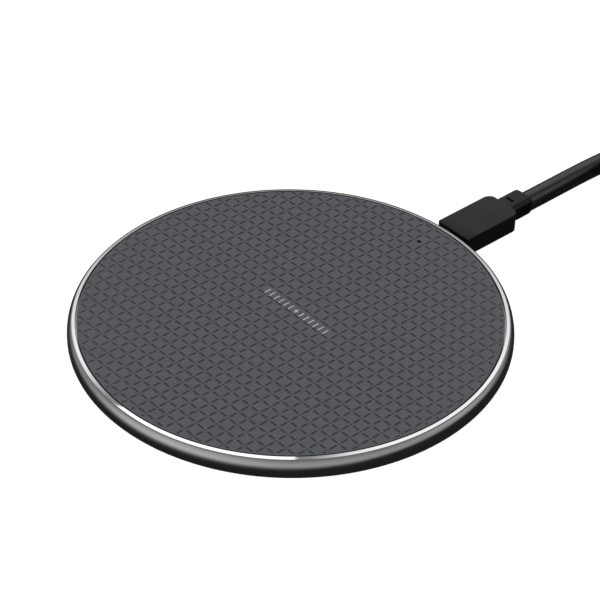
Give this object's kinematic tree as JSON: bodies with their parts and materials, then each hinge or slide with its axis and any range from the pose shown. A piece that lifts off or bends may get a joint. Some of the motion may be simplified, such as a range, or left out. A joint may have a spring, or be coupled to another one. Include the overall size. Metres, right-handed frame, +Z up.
{
  "type": "wireless charging pad",
  "caption": "Thin round wireless charging pad: dark patterned cover in a metal frame with a bright edge, and a plug-in USB supply cable stored in a tied coil.",
  "frame": {"origin": "centre of the foot ring's underside, on the surface that the pad stands on; the cable's pieces are left out of the claim", "axes": "+Z up through the top cover, +Y from the centre towards the cable's plug, +X to the right with the plug at the far side"},
  "size_m": [0.1269, 0.2083, 0.0116],
  "materials": {
    "cover_skin": "matt textured skin with a grid of short sunk dashes",
    "shell_plastic": "fine moulded texture",
    "frame_metal": "satin dark anodised side with a bright machined band",
    "foot_rubber": "matt",
    "steel": "nickel-plated stamping",
    "copper": "enamelled copper strands",
    "ferrite": "sintered, dull",
    "tape": "double-sided tape",
    "board": "solder mask",
    "chip_resin": "moulded resin",
    "capacitor_ceramic": "fired ceramic body",
    "tin": "tinned",
    "clear_plastic": "clear moulding",
    "contact_plastic": "glass-filled plastic",
    "plug_plastic": "soft-touch moulding",
    "cable_jacket": "smooth flexible jacket with a soft sheen",
    "tie_strap": "hook-and-loop strap"
  },
  "bodies": {
    "pad": {"base_cover": "shell_plastic", "buck_inductor": "chip_resin", "circuit_board": "board", "clock_crystal": "tin", "coil_lead_inner": "copper", "coil_lead_outer": "copper", "controller_chip": "chip_resin", "cover_screw_1": "steel", "cover_screw_2": "steel", "cover_screw_3": "steel", "cover_screw_4": "steel", "driver_chip": "chip_resin", "ferrite_disc": "ferrite", "ferrite_tape": "tape", "foot_ring": "foot_rubber", "frame_ring": "frame_metal", "input_capacitor_1": "capacitor_ceramic", "input_capacitor_2": "capacitor_ceramic", "light_pipe": "clear_plastic", "mosfet_pair_1": "chip_resin", "mosfet_pair_2": "chip_resin", "receptacle_shell": "steel", "receptacle_tongue": "contact_plastic", "regulator_chip": "chip_resin", "resonant_capacitor_1": "capacitor_ceramic", "resonant_capacitor_2": "capacitor_ceramic", "resonant_capacitor_3": "capacitor_ceramic", "resonant_capacitor_4": "capacitor_ceramic", "status_led": "clear_plastic", "thermistor": "chip_resin", "thermistor_lead": "copper", "top_plate": "shell_plastic", "top_skin": "cover_skin", "transmit_coil": "copper"},
    "cable": {"plug_shell": "steel", "plug_insulator": "contact_plastic", "plug_grip": "plug_plastic", "strain_relief": "cable_jacket", "cord_run": "cable_jacket", "cord_coil": "cable_jacket", "cord_tail": "cable_jacket", "cord_tie": "tie_strap", "far_relief": "cable_jacket", "far_grip": "plug_plastic", "far_shell": "steel", "far_tongue": "contact_plastic"}
  },
  "joints": [
    {"name": "plug_pull", "type": "slide", "parent": "pad", "child": "cable", "axis": [0, 1, 0], "range_m": [0, 0.01]}
  ]
}
